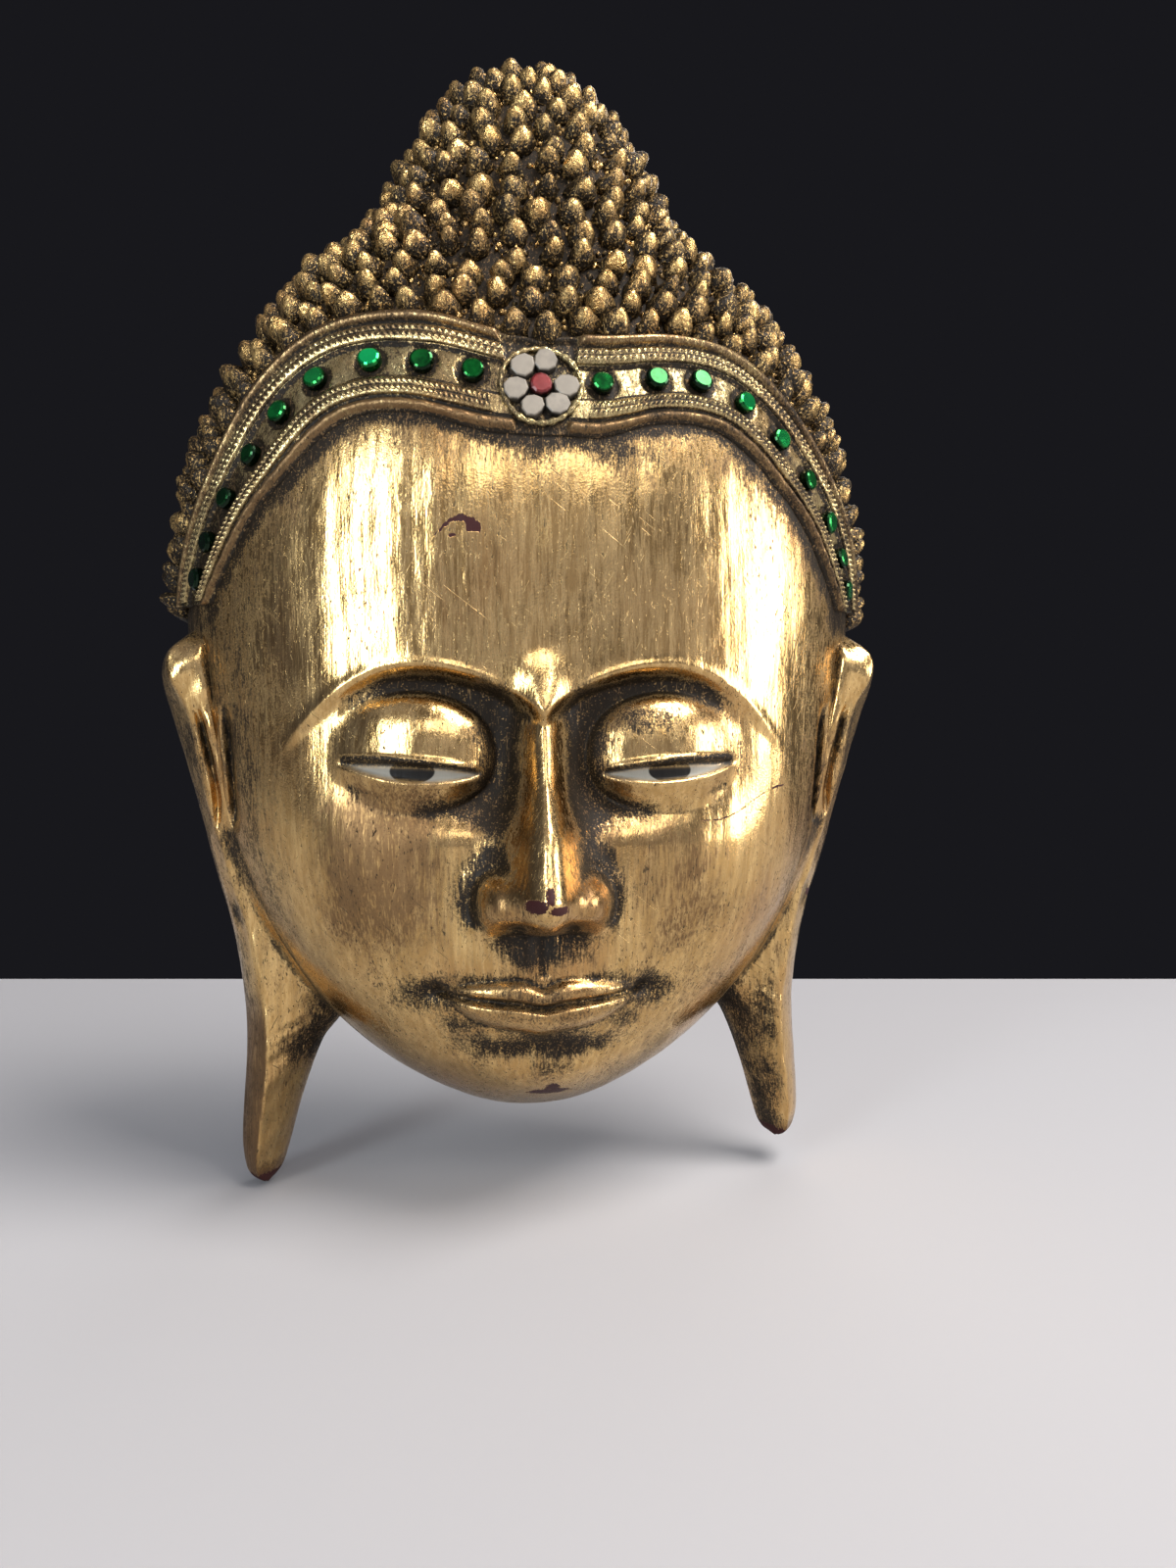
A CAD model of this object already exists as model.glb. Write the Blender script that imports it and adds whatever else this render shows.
import bpy
import numpy as np
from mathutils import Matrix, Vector


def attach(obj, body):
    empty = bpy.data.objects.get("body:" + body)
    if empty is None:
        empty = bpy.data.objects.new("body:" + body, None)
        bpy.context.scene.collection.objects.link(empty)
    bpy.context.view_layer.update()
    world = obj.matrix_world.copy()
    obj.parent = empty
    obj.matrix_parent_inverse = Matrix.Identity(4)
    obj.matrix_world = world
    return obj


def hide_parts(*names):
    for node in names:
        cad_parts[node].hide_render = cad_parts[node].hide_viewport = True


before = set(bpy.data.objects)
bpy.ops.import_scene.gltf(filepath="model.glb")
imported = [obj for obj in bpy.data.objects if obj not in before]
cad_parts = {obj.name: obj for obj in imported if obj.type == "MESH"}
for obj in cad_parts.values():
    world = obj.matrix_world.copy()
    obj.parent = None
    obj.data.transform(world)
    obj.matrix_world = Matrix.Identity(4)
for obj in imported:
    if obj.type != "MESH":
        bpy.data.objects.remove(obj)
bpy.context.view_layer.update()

MM = 0.001

# Camera. The picture was taken by hand from about 0.6 m, a little to the left of the nose and just
# above the eyes, with the mask left of the middle of the frame.
LOOK_AT = (0.030, 0.0, -0.224)
CAMERA_TURN = np.radians(-7.0)
CAMERA_RISE = np.radians(3.0)
CAMERA_REACH = 0.607
CAMERA_LENS = 29.475
CAMERA_SENSOR = 36.0

camera_data = bpy.data.cameras.new("camera")
camera_data.lens = CAMERA_LENS
camera_data.sensor_width = CAMERA_SENSOR
camera_data.clip_start = 0.01
camera = bpy.data.objects.new("camera", camera_data)
bpy.context.scene.collection.objects.link(camera)
bpy.context.scene.camera = camera
sight = Vector((np.sin(CAMERA_TURN) * np.cos(CAMERA_RISE), -np.cos(CAMERA_TURN) * np.cos(CAMERA_RISE),
                np.sin(CAMERA_RISE)))
camera.location = Vector(LOOK_AT) + CAMERA_REACH * sight
camera.rotation_euler = (-sight).to_track_quat("-Z", "Y").to_euler()

# Carved head. One block of light wood, rounded in front, flat where it meets the wall and hollowed
# behind, with the face cut into it in thirds from hairline to chin and the scalp left plain under
# the curls. Sizes are millimetres; the surface is a depth in front of the wall for each place.
CHIN = -370.0
CHIN_ROUND = 24.0
TEMPLE = -139.0
HALF_WIDTH = 151.5
SKULL_UP = 160.0
HEAD_DEPTH = 100.0
CROWN_Z = -3.5
CROWN_RISE = 96.5
CROWN_HALF_WIDTH = 93.0
CROWN_DEPTH = 64.0
CROWN_TOP = CROWN_Z + CROWN_RISE
CROWN_ROUND = 8.0
HAIRLINE = -82.0
THIRD = (HAIRLINE - CHIN) / 3
BROW = HAIRLINE - THIRD
NOSE = BROW - THIRD
EYE_X = 52.0
EYE_Z = BROW - 28.0
MOUTH_Z = NOSE - THIRD / 3
MOUTH_HALF = 42.0
EAR_SLOT = [[-174, 131], [-205, 128], [-243, 126.5]]
HOLLOW_TOP = -24.0
HOLLOW_LOW = -342.0
HOLLOW_HALF = 126.0
RIM = 20.0
WALL = 31.0
HEAD_COLUMNS = 261
BACK_COLUMNS = 24


def dome(t, n, m):
    """A rounded hump: one minus t to the power n, all to the power one over m, nought outside -1 to 1."""
    return np.clip(1 - np.clip(np.abs(t), 0, 1) ** n, 0, 1) ** (1 / m)


def hill(v, size, power=2.0):
    """A soft bump of height one at v = 0 that fades over size."""
    return np.exp(-np.abs(v / size) ** power)


def bell(x, z, cx, cz, sx, sz, power=2.0):
    """A round bump of height one at (cx, cz), sx wide and sz tall."""
    return hill(x - cx, sx, power) * hill(z - cz, sz, power)


def ramp(start, end, v):
    """Rises smoothly from nought at start to one at end."""
    t = np.clip((v - start) / (end - start), 0, 1)
    return t * t * (3 - 2 * t)


def blend_up(a, b, k):
    """The greater of a and b, with the corner between them filled over k."""
    near = np.clip(k - np.abs(a - b), 0, k) / k
    return np.maximum(a, b) + near * near * k / 4


def half_width(z):
    """Half the head's width at height z: an egg below the temples, a dome above with a crown on it."""
    down = HALF_WIDTH * dome(np.maximum(TEMPLE - z, 0) / (TEMPLE - CHIN), 2.35, 1.75)
    skull = HALF_WIDTH * dome(np.maximum(z - TEMPLE, 0) / SKULL_UP, 2.0, 2.4)
    crown = CROWN_HALF_WIDTH * dome(np.maximum(z - CROWN_Z, 0) / CROWN_RISE, 0.4, 2.55)
    up = np.where(z > TEMPLE + 40, blend_up(skull, crown, 30.0), skull)
    return np.where(z > TEMPLE, up, down)


def mid_depth(z):
    """Depth of the head on its middle line at height z."""
    down = HEAD_DEPTH * dome(np.maximum(TEMPLE - z, 0) / (TEMPLE - CHIN), 4.4, 2.2)
    skull = HEAD_DEPTH * dome(np.maximum(z - TEMPLE, 0) / (SKULL_UP + 4), 2.2, 2.2)
    crown = CROWN_DEPTH * dome(np.maximum(z - CROWN_Z, 0) / CROWN_RISE, 1.6, 1.9)
    crown = crown - 0.4 * np.maximum(CROWN_Z - z, 0)
    up = np.where(z > -110, blend_up(skull, crown, 30.0), skull)
    return np.where(z > TEMPLE, up, down)


def head_depth(x, z):
    """Depth of the plain head: the middle depth rounded off towards both edges."""
    return mid_depth(z) * dome(x / np.maximum(half_width(z), 1e-3), 2.4, 1.9)


def eye_parts(across, z):
    """Lift of lids, socket and brow, then shares of the slit, the socket's shade and the dark lid line."""
    arch = np.where(across < EYE_X, 0.0068, 0.0125)
    below = BROW + 6 - arch * (across - EYE_X) ** 2 - z
    floor = 3 + 11.5 * hill(across - 20, 36) - 6 * hill(across, 12)
    near = ramp(-1.5, 7, below) * ramp(EYE_Z - 38, EYE_Z - 8, z) * ramp(104, 66, across)
    tall = np.where(z > EYE_Z - 1.5, 25.5, 25.0)
    q = ((across - EYE_X - 1) / 34.5) ** 2 + (np.abs(z - EYE_Z + 1.5) / tall) ** 2.2
    ball = -11 + 15 * np.sqrt(np.clip(1 - q, 0, 1))
    ridge = 1.2 * hill(below - 0.5, 3.2) * ramp(108, 88, across) * ramp(8, 22, across)
    u = (across - EYE_X) / 28
    span = np.clip(1 - u * u, 0, 1)
    axis = EYE_Z - 6.5 + 2.2 * u - 1.6 * (1 - u * u)
    above = z - axis - 3.6 * span ** 0.8
    under = axis - 3.3 * span ** 0.9 - z
    wide = ramp(0, 0.3, span)
    slit = ramp(-0.8, 0.8, -above) * ramp(-0.8, 0.8, -under) * ramp(0, 0.08, span)
    rims = 1.3 * hill(above - 1.3, 1.7) + 1.1 * hill(under - 1.3, 1.9)
    fold = 0.8 * hill(under - 8.0, 2.6)
    lift = blend_up(-near * floor, ball, 3.5) + ridge - 2.4 * slit + wide * (rims - fold)
    heavy = 1.4 + 1.1 * ramp(-0.6, 0.7, u)
    line = ramp(0.0, 0.12, span) * hill(above - 0.3, heavy, 4.0)
    return lift, slit, near * ramp(2.0, 12.0, floor), line


def nose_lift(across, z):
    """A ridge that widens and rises to the tip, two wings beside it and the nostrils under them."""
    root = BROW - 10
    tip = NOSE + 13
    t = np.clip((root - z) / (root - tip), 0, 1)
    rise = (9 + 25 * t ** 1.15) * ramp(BROW + 16, root - 6, z)
    under = dome(np.maximum(tip - z, 0) / 17, 2.2, 1.8)
    width = 9.5 + 4 * t + 2 * ramp(0.6, 1, t)
    ridge = rise * under * hill(across, width, 2.1)
    wing = 18.5 * bell(across, z, 16.5, NOSE + 9.5, 10, 11, 2.6)
    ring = np.hypot(across - 14.5, (z - NOSE - 8) / 1.05) - 14.5
    crease = 2.0 * hill(ring, 2.0) * ramp(12, 22, across) * ramp(NOSE - 3, NOSE + 4, z)
    nostril = 6 * bell(across, z, 9.5, NOSE - 0.5, 5, 3)
    return np.cbrt(ridge ** 3 + wing ** 3) - crease - nostril


def mouth_lift(across, z):
    """Two lips either side of a gently rising line, on a soft muzzle, with a fold under them."""
    line = MOUTH_Z - 1.8 * hill(across, 7) + 3.6 * (across / MOUTH_HALF) ** 2
    w = np.clip(1 - (across / MOUTH_HALF) ** 1.8, 0, 1)
    tall = 10.5 * w ** 0.8 - 2.2 * hill(across, 5) + 0.01
    deep = 13 * np.clip(1 - (across / 38) ** 2.6, 0, 1) ** 0.6 + 0.01
    upper = np.where(z >= line, 6.5 * dome(np.maximum(z - line, 0) / tall, 2.4, 1.4), 0) * w ** 0.4
    lower = np.where(z < line, 7.5 * dome(np.maximum(line - z, 0) / deep, 2.2, 1.4), 0) * w ** 0.4
    muzzle = 9 * bell(across, z, 0, MOUTH_Z + 3, 44, 33, 2.6)
    groove = 5 * hill(z - line, 1.8) * ramp(MOUTH_HALF + 3, MOUTH_HALF - 4, across)
    corner = 4 * bell(across, z, MOUTH_HALF + 1, MOUTH_Z + 4, 6, 5)
    fold = 4.5 * bell(across, z, 0, MOUTH_Z - 21, 27, 6.5)
    under_nose = ramp(NOSE - 2, NOSE - 6, z) * ramp(MOUTH_Z + 8, MOUTH_Z + 12, z)
    philtrum = (0.9 * hill(across - 7.5, 2.6) - 1.8 * hill(across, 3.4)) * under_nose
    return muzzle + upper + lower + philtrum - groove - corner - fold


def along(table, place):
    """A smooth curve through a few pairs: on each span a cubic with the slopes of its neighbours."""
    keys, values = np.array(sorted(table), dtype=float).T
    slopes = np.empty_like(values)
    slopes[1:-1] = (values[2:] - values[:-2]) / (keys[2:] - keys[:-2])
    slopes[0] = (values[1] - values[0]) / (keys[1] - keys[0])
    slopes[-1] = (values[-1] - values[-2]) / (keys[-1] - keys[-2])
    at = np.clip(place, keys[0], keys[-1])
    k = np.clip(np.searchsorted(keys, at, side="right") - 1, 0, len(keys) - 2)
    span = keys[k + 1] - keys[k]
    t = (at - keys[k]) / span
    s = t * t * (3 - 2 * t)
    bend = t * (1 - t) ** 2 * slopes[k] + t * t * (t - 1) * slopes[k + 1]
    return values[k] * (1 - s) + values[k + 1] * s + span * bend


def waves(x, z, length, turn):
    """Gentle unevenness of hand carving: three crossing sine waves about one length apart."""
    total = 0
    for k in range(3):
        a = turn + 1.3 * k
        run = x * np.cos(a) + z * np.sin(a)
        total = total + np.sin(2 * np.pi * run / (length * (1 + 0.37 * k)) + 1.7 * k * turn)
    return total / 3


def face_parts(x, z):
    """Depth of the finished face, then shares of slit, socket shade, lid line and the cut beside the ear."""
    across = np.abs(x)
    base = head_depth(x, z)
    chin = 10 * bell(across, z, 0, CHIN + 27, 28, 19, 2.2)
    cheek = 5 * bell(across, z, 74, NOSE + 12, 34, 42, 2.2)
    temple = 3 * bell(across, z, 122, BROW - 10, 22, 40)
    eyes, slit, shade, line = eye_parts(across, z)
    lift = eyes + nose_lift(across, z) + mouth_lift(across, z) + chin + cheek - temple
    beside_ear = hill(across - along(EAR_SLOT, z), 1.8, 2.4) * ramp(-184, -200, z) * ramp(-243, -230, z)
    tool = 0.35 * waves(x, z, 41, 0.4) + 0.16 * waves(x * 1.6, z * 0.7, 17, 2.1)
    tool = tool + 0.09 * np.sin(x / 2.3 + 1.4 * np.sin(z / 29))
    tool = tool + 0.04 * np.sin(x / 0.95 + 2.2 * np.sin(z / 23))
    return base + (lift + tool - 8 * beside_ear) * ramp(0, 8, base), slit, shade, line, beside_ear


def soft(field, reach):
    """Averages each place with its neighbours within reach steps, both ways, twice over."""
    for axis in (0, 1, 0, 1):
        pad = [(0, 0), (0, 0)]
        pad[axis] = (reach + 1, reach)
        total = np.cumsum(np.pad(field, pad, mode="edge"), axis=axis)
        count = 2 * reach + 1
        size = total.shape[axis]
        field = np.take(total, np.arange(count, size), axis) - np.take(total, np.arange(size - count), axis)
        field = field / count
    return field


def lay_mesh(name, points, faces, material, marks, smooth=True):
    """Makes a mesh of one material from points in millimetres and arrays of faces wound outward."""
    mesh = bpy.data.meshes.new(name)
    mesh.from_pydata(points * MM, [], [face for part in faces for face in part.tolist()])
    mesh.polygons.foreach_set("use_smooth", np.full(len(mesh.polygons), smooth))
    for label, values in marks.items():
        layer = mesh.attributes.new(label, "FLOAT", "POINT")
        layer.data.foreach_set("value", np.clip(values, 0, 1).astype(np.float32).ravel())
    mesh.materials.append(material)
    mesh.validate()
    piece = bpy.data.objects.new(name, mesh)
    bpy.context.scene.collection.objects.link(piece)
    return piece


def most(first, *others):
    """The greatest of several fields of values, place by place."""
    for other in others:
        first = np.maximum(first, other)
    return first


def tube_faces(rings, around):
    """Quads between rings of points that close on themselves, and triangles to a pole at each end."""
    pole = np.full(around, rings * around)
    here = np.arange(rings * around).reshape(rings, around)
    beside = np.roll(here, -1, 1)
    quads = np.stack([here[:-1], beside[:-1], beside[1:], here[1:]], -1)
    fans = np.stack([[beside[0], here[0], pole], [here[-1], beside[-1], pole + 1]])
    return [quads.reshape(-1, 4), fans.swapaxes(1, 2).reshape(-1, 3)]


def lay_tube(name, rings, material, marks, ends=None, turned=False):
    """A closed skin over rings of points, with a pole in the middle of each end ring unless ends has them."""
    if ends is None:
        ends = np.stack([rings[0].mean(0), rings[-1].mean(0)])
    faces = tube_faces(*rings.shape[:2])
    if turned:
        faces = [part[:, ::-1] for part in faces]
    return lay_mesh(name, np.concatenate([rings.reshape(-1, 3), ends]), faces, material, marks)


def skin_marks(columns, behind, pole, **fields):
    """Marks for a whole tube: values in front, one value for the columns behind and one for the poles."""
    marks = {}
    for label, values in fields.items():
        rest = np.full((len(values), columns), float(behind))
        marks[label] = np.concatenate([np.concatenate([values, rest], 1).ravel(), [pole, pole]])
    return marks


def fill(tree, node, inputs):
    """Fills inputs of a node, each with a plain value or with what another node gives."""
    for key, value in inputs.items():
        value = getattr(value, "socket", value)
        if isinstance(value, bpy.types.NodeSocket):
            tree.links.new(value, node.inputs[key])
        else:
            node.inputs[key].default_value = value
    return node


def put(tree, kind, inputs=None, **settings):
    """Adds a node with these settings and inputs."""
    made = tree.nodes.new(kind)
    for name, value in settings.items():
        setattr(made, name, value)
    return fill(tree, made, inputs or {})


class Grade:
    """A number that nodes work out at each place, so that a sum of such numbers reads as a sum."""

    def __init__(self, tree, socket):
        self.tree = tree
        self.socket = socket

    def reckon(self, operation, other):
        """This number and another put through a Math node."""
        made = put(self.tree, "ShaderNodeMath", {0: self, 1: other}, operation=operation)
        return Grade(self.tree, made.outputs[0])

    def __add__(self, other):
        return self.reckon("ADD", other)

    def __sub__(self, other):
        return self.reckon("SUBTRACT", other)

    def __mul__(self, other):
        return self.reckon("MULTIPLY", other)

    def over(self, other):
        """The greater of this number and another."""
        return self.reckon("MAXIMUM", other)

    def span(self, low, high, start=0.0, end=1.0):
        """Stretches low to high on to start to end, and holds it there."""
        made = put(self.tree, "ShaderNodeMapRange", {0: self, 1: low, 2: high, 3: start, 4: end})
        return Grade(self.tree, made.outputs[0])

    def tint(self, a, b):
        """A colour between a and b: a where this number is nought, b where it is one."""
        return put(self.tree, "ShaderNodeMix", {0: self, 6: a, 7: b}, data_type="RGBA").outputs[2]


def grain(tree, scale, detail=3.0, rough=0.6, turn=(0, 0, 0), lean=None):
    """Noise on the piece's own coordinates, leaned over, then stretched by a scale for each axis."""
    place = put(tree, "ShaderNodeTexCoord").outputs["Object"]
    if lean:
        place = put(tree, "ShaderNodeMapping", {"Vector": place, "Rotation": lean}).outputs[0]
    place = put(tree, "ShaderNodeMapping", {"Vector": place, "Scale": scale, "Location": turn}).outputs[0]
    noise = put(tree, "ShaderNodeTexNoise", {"Vector": place, "Scale": 1.0, "Detail": detail,
                                             "Roughness": rough})
    return Grade(tree, noise.outputs["Fac"])


def mark(tree, label):
    """What the mesh has written at each place under this label, or nought."""
    return Grade(tree, put(tree, "ShaderNodeAttribute", attribute_name=label).outputs["Fac"])


def new_material(name):
    """An empty material with its nodes and its shader."""
    material = bpy.data.materials.new(name)
    material.use_nodes = True
    return material, material.node_tree, material.node_tree.nodes["Principled BSDF"]


SOOT = (0.0115, 0.0072, 0.0032, 1)
LACQUER = (0.036, 0.0085, 0.008, 1)
GOLD_LIGHT = (0.89, 0.61, 0.26, 1)
GOLD_DEEP = (0.54, 0.34, 0.13, 1)
GOLD_COPPER = (0.50, 0.25, 0.095, 1)
GLAZE = (0.165, 0.092, 0.044, 1)
EYE_WHITE = (0.28, 0.265, 0.225, 1)
EYE_BLACK = (0.009, 0.008, 0.007, 1)
TIMBER_DARK = (0.085, 0.042, 0.020, 1)
TIMBER_LIGHT = (0.17, 0.092, 0.045, 1)


def gilding(name, streak=1.0, crumb=0.3, dusk=0.0, crumbs_per_metre=1100, light=GOLD_LIGHT, deep=GOLD_DEEP,
            glint=0.62):
    """Burnished leaf over lacquer: upright brush streaks, crumbs of leaf, soot where the mark says."""
    material, tree, shader = new_material(name)
    soot, glaze, bare = mark(tree, "soot"), mark(tree, "glaze"), mark(tree, "bare")
    eye, iris, wood = mark(tree, "eye"), mark(tree, "iris"), mark(tree, "wood")
    fine = grain(tree, (1200, 1200, 115), rough=0.65)
    wide = grain(tree, (330, 330, 26), turn=(3, 1, 7))
    mottle = grain(tree, (60, 60, 45), detail=6.0, rough=0.7)
    crumbs = grain(tree, (crumbs_per_metre,) * 3, detail=2.0, rough=0.5)
    dashes = grain(tree, (900, 900, 330), detail=2.0, turn=(9, 4, 2))
    dents = grain(tree, (300, 300, 150), detail=2.0, turn=(5, 5, 5))
    blush = grain(tree, (16, 16, 12), detail=2.0, turn=(2, 5, 1))
    hairs = grain(tree, (1300, 260, 42), detail=1.0, turn=(4, 8, 1), lean=(0, 0.9, 0))
    hairs = hairs.over(grain(tree, (1500, 300, 60), detail=1.0, turn=(7, 2, 5), lean=(0, -0.5, 0)))
    dry = fine + crumbs * 0.8 - 1.5 + mottle * 1.2
    sooty = (soot + dry * (soot * 1.1 + 0.55) + dusk).span(0.28, 0.60)
    flecks = (fine + wide * 0.5).span(0.86, 0.96, 1.0, 0.25)
    glints = crumbs.span(glint, glint + 0.06, 1.0, 0.30)
    dots = (dashes + mottle * 0.35 + soot * 0.12).span(0.835, 0.875, 0.0, 0.85)
    scores = (hairs + soot * 0.14).span(0.745, 0.785, 0.0, 0.6)
    sooty = (sooty * flecks * glints).over(dots).over(scores)
    tone = fine * 0.8 + wide * 0.6 + mottle * 0.5
    gold = tone.span(0.83, 1.05).tint(deep, light)
    gold = blush.span(0.48, 0.70, 0.0, 0.5).tint(gold, GOLD_COPPER)
    brushed = fine * 1.6 - 1.35 + mottle * 1.1 + dry * 0.4
    veil = (glaze + brushed * 1.05 + 2 * dusk).span(0.08, 0.80, 0.0, 0.92)
    worn = (bare + dry * 0.4).span(0.50, 0.54)
    colour = worn.tint(sooty.tint(veil.tint(gold, GLAZE), SOOT), LACQUER)
    colour = eye.tint(colour, iris.span(0.44, 0.56).tint(EYE_WHITE, EYE_BLACK))
    place = put(tree, "ShaderNodeTexCoord").outputs["Object"]
    place = put(tree, "ShaderNodeMapping", {"Vector": place, "Scale": (160, 160, 9)}).outputs[0]
    rings = put(tree, "ShaderNodeTexWave", {"Vector": place, "Scale": 1.0, "Distortion": 4.0, "Detail": 3.0})
    timber = Grade(tree, rings.outputs["Fac"]).tint(TIMBER_DARK, TIMBER_LIGHT)
    dull = sooty.over(worn).over(eye.over(wood))
    rough = fine * 0.20 + 0.075 + veil * 0.16 + dull * 0.26 + glaze.span(0.55, 1.0, 0.0, 0.22)
    height = (fine * 0.26 + wide + dents * 0.9) * streak + crumbs * crumb - sooty * 0.5 - worn
    bump = put(tree, "ShaderNodeBump", {"Strength": 1.0, "Distance": 0.0001, "Height": height})
    fill(tree, shader, {"Base Color": wood.tint(colour, timber), "Metallic": dull * -0.95 + 1.0,
                        "Specular IOR Level": 0.2, "Roughness": rough, "Normal": bump.outputs[0]})
    return material


u = np.linspace(-1, 1, HEAD_COLUMNS)
shares = np.sin(np.pi / 2 * (0.5 * u + 0.5 * u ** 3))
chin_rows = CHIN + CHIN_ROUND * np.linspace(0.03, 1, 34) ** 1.9
face_rows = np.arange(CHIN + CHIN_ROUND + 0.8, BROW + 14, 0.86)
forehead_rows = np.arange(BROW + 14, HAIRLINE + 6, 2.0)
scalp_rows = np.arange(HAIRLINE + 6, CROWN_TOP - CROWN_ROUND, 5.0)
crown_rows = CROWN_TOP - CROWN_ROUND * np.linspace(1, 0.03, 9) ** 1.9
z = np.concatenate([chin_rows, face_rows, forehead_rows, scalp_rows, crown_rows])[:, None]
wide = half_width(z)
x = shares[None, :] * wide
across = np.abs(x)
depth, slit, shade, lid_line, beside_ear = face_parts(x, z)
depth[:, [0, -1]] = 0
front = np.stack([x, -depth, z + 0 * x], -1)
level = np.clip((z - HOLLOW_LOW) / (HOLLOW_TOP - HOLLOW_LOW), 0, 1)
room = np.minimum(wide - RIM, HOLLOW_HALF) * np.maximum(dome(2 * level - 1, 5, 2.2), 0.35)
room = np.clip(room, 0.3 * wide, np.maximum(wide - 2, 0.6 * wide))
back_shares = np.sin(np.pi / 2 * np.linspace(1, -1, BACK_COLUMNS))[None, :]
back_x = back_shares * room
scoop = np.maximum(head_depth(back_x, z) - WALL, 4)
scoop = scoop * dome(back_shares, 10, 2) * dome(2 * level - 1, 12, 2)
back = np.stack([back_x, -scoop, z + 0 * back_x], -1)
head_rings = np.concatenate([front, back], 1)

# Rays from a centre low in the forehead carry the band and the curls
CENTRE_Z = -150.0
BAND_END = 88.0
BAND_TOP = [[0, 106.5], [12, 113], [25, 127.5], [37, 139.5], [47, 142.5], [64, 143.5], [78, 147], [90, 149]]
BAND_LOW = [[0, 67], [16, 70.5], [24, 77], [30, 85.5], [43, 102.5], [50, 107.5], [62, 113], [70, 119],
            [80, 126], [90, 136]]
LEAN_TOP = 4.0
LEAN_LOW = 1.0


def band_edges(angle):
    """Distances of the band's lower and upper edge from the centre, on rays at these angles."""
    side = np.abs(angle)
    lean = -np.sign(angle) * ramp(4, 22, side) * ramp(76, 42, side)
    return along(BAND_LOW, side) + LEAN_LOW * lean, along(BAND_TOP, side) + LEAN_TOP * lean


def patches(run, rows):
    """The greatest of several soft patches: each row has its strength, middle, width, height and power."""
    return most(*[strength * bell(run, z, *rest) for strength, *rest in rows])


# Soot in the hollows on both sides of the face, then soot on one side only, then spots of worn leaf
SOOT_PAIRS = [
    (0.66, 6, NOSE - 10, 14, 10, 2.4), (0.60, 29, NOSE + 6, 5.5, 11), (0.40, 15, NOSE + 38, 6.5, 30, 2.6),
    (0.30, 24, NOSE + 12, 9, 12), (0.85, MOUTH_HALF + 1, MOUTH_Z + 2, 15, 9, 2.2),
    (0.50, 28, MOUTH_Z + 10, 16, 4), (0.34, 0, MOUTH_Z, 44, 13, 3), (0.74, 0, MOUTH_Z - 19, 40, 8, 2.4),
    (0.55, 34, MOUTH_Z - 9, 13, 8), (0.40, 0, CHIN + 34, 24, 10)]
SOOT_LONE = [
    (0.66, -2, -88, 11, 10), (0.62, 27, -87, 18, 10), (0.50, 46, -88, 8, 13), (0.40, -46, -88, 14, 8),
    (0.46, 1, -119, 5, 9), (0.30, 3, -104, 7, 16), (0.58, 44, EYE_Z + 12, 19, 8, 2.6),
    (0.24, -64, -252, 28, 40, 3.0)]
BARE_SPOTS = [
    (0.78, -5, NOSE + 11, 5, 3.2, 3.0), (0.76, 3.5, NOSE + 9.5, 5.5, 2.3, 3.0),
    (0.74, 0, NOSE + 15, 2.4, 4.5, 3.0), (0.80, 5, CHIN + 20, 15, 2.6), (0.72, 6, CHIN + 23, 5, 4),
    (0.45, 92, -262, 5, 3), (0.42, -70, -95, 3, 3)]
CHIP_X = -33.0
CHIP_Z = -119.0

fine_crease = np.clip((soft(depth, 3) - depth) / 0.9, 0, 1)
deep_crease = np.clip((soft(depth, 12) - depth) / 4.2, 0, 1)
iris = ramp(1.4, 0.6, np.hypot((across - EYE_X + 1) / 8.8, (z - EYE_Z + 7.6) / 4.6))
turn = np.degrees(np.arctan2(x, z - CENTRE_Z))
reach = np.hypot(x, z - CENTRE_Z)
low_edge = band_edges(np.clip(turn, -BAND_END, BAND_END))[0]
above_centre = ramp(CENTRE_Z - 22, CENTRE_Z + 4, z)
below_band = np.minimum(reach - low_edge, 0)
band_shadow = most(0.92 * hill(below_band, 7.5), 0.36 * hill(below_band, 19.0)) * above_centre
scalp = ramp(low_edge + 4, low_edge + 14, reach) * above_centre
rim_share = np.abs(shares)[None, :]
edge_dark = 0.62 * ramp(0.90, 0.985, rim_share) * ramp(CHIN, CHIN + 90, z)
edge_dark = edge_dark + 0.45 * ramp(0.82, 0.93, rim_share) * ramp(-165, -185, z)
jaw_edge = ramp(0.84, 0.95, rim_share) * ramp(-235, -265, z)
inner_brow = BROW + 6 - 0.0068 * (across - EYE_X) ** 2 - z
socket = 0.62 * shade * hill(inner_brow - 4, 6.5) * ramp(96, 60, across)
corner = 0.88 * bell(across, z, 18, EYE_Z + 1, 10, 30, 2.6)
corner = corner + 0.50 * bell(across, z, 37, EYE_Z - 22, 18, 4.5)
wing_edge = hill(np.hypot(across - 14.5, (z - NOSE - 8) / 1.05) - 15.2, 3.8)
wing_edge = 0.90 * wing_edge * ramp(NOSE - 6, NOSE + 2, z) * ramp(10, 18, across)
sides = (0.25 + 0.17 * (x < 0)) * ramp(82, 124, across) * ramp(-330, -280, z)
grime = 0.14 * ramp(NOSE + 30, CHIN + 40, z) + 0.05
soot = most(0.55 * fine_crease, 0.80 * deep_crease, socket, corner, wing_edge, patches(across, SOOT_PAIRS),
            patches(x, SOOT_LONE), sides, band_shadow, 0.60 * jaw_edge, 0.95 * scalp, edge_dark,
            0.95 * beside_ear, grime)
soot = np.clip(soot + 0.18 * deep_crease + 0.12 * fine_crease, 0, 1) * (1 - 0.9 * slit)
soot = np.maximum(soot, lid_line)
slit = slit * (1 - lid_line)
copper = bell(x, z, -64, -252, 28, 40, 3.0) + 0.60 * bell(x, z, 56, -258, 30, 42)
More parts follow.
